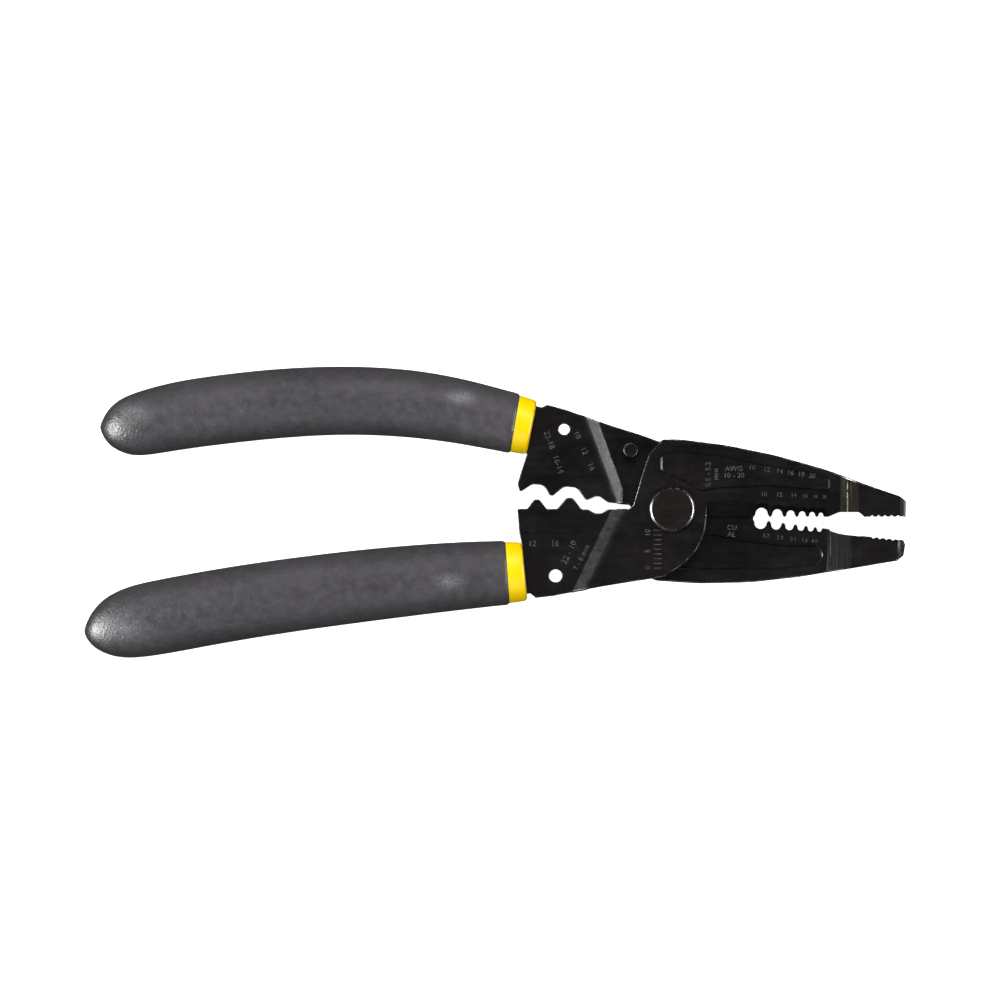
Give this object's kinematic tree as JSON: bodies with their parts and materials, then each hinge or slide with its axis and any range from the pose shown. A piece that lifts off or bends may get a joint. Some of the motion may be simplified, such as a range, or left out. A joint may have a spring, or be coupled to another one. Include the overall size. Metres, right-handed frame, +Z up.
{
  "type": "wire stripper",
  "caption": "Plier-type wire stripper with serrated nose, stripping notches, cutter and crimping edges, two crossed blades on a pivot and two-colour moulded grips.",
  "frame": {"origin": "centre of the bounding box at its base, where the tool lies on its handles", "axes": "+X from the handles towards the nose, +Y across the tool towards the upper handle, +Z up along the pivot axis"},
  "size_m": [0.1968, 0.0702, 0.013],
  "materials": {
    "blade_steel": "black oxide, satin",
    "hardware_steel": "black oxide, satin",
    "sleeve_plastic": "smooth moulded",
    "grip_rubber": "matte, soft touch"
  },
  "bodies": {
    "front_half": {"front_blade": "blade_steel", "pivot_bolt": "hardware_steel", "spring_washer": "hardware_steel", "pivot_nut": "hardware_steel", "front_grip_sleeve": "sleeve_plastic", "front_grip": "grip_rubber"},
    "rear_half": {"rear_blade": "blade_steel", "stop_pin": "hardware_steel", "rear_grip_sleeve": "sleeve_plastic", "rear_grip": "grip_rubber"}
  },
  "joints": [
    {"name": "jaw_pivot", "type": "hinge", "parent": "front_half", "child": "rear_half", "pos_m": [0.04231, 0.00074, 0.0065], "axis": [0, 0, 1], "range_deg": [-18.5, 5.5]}
  ]
}
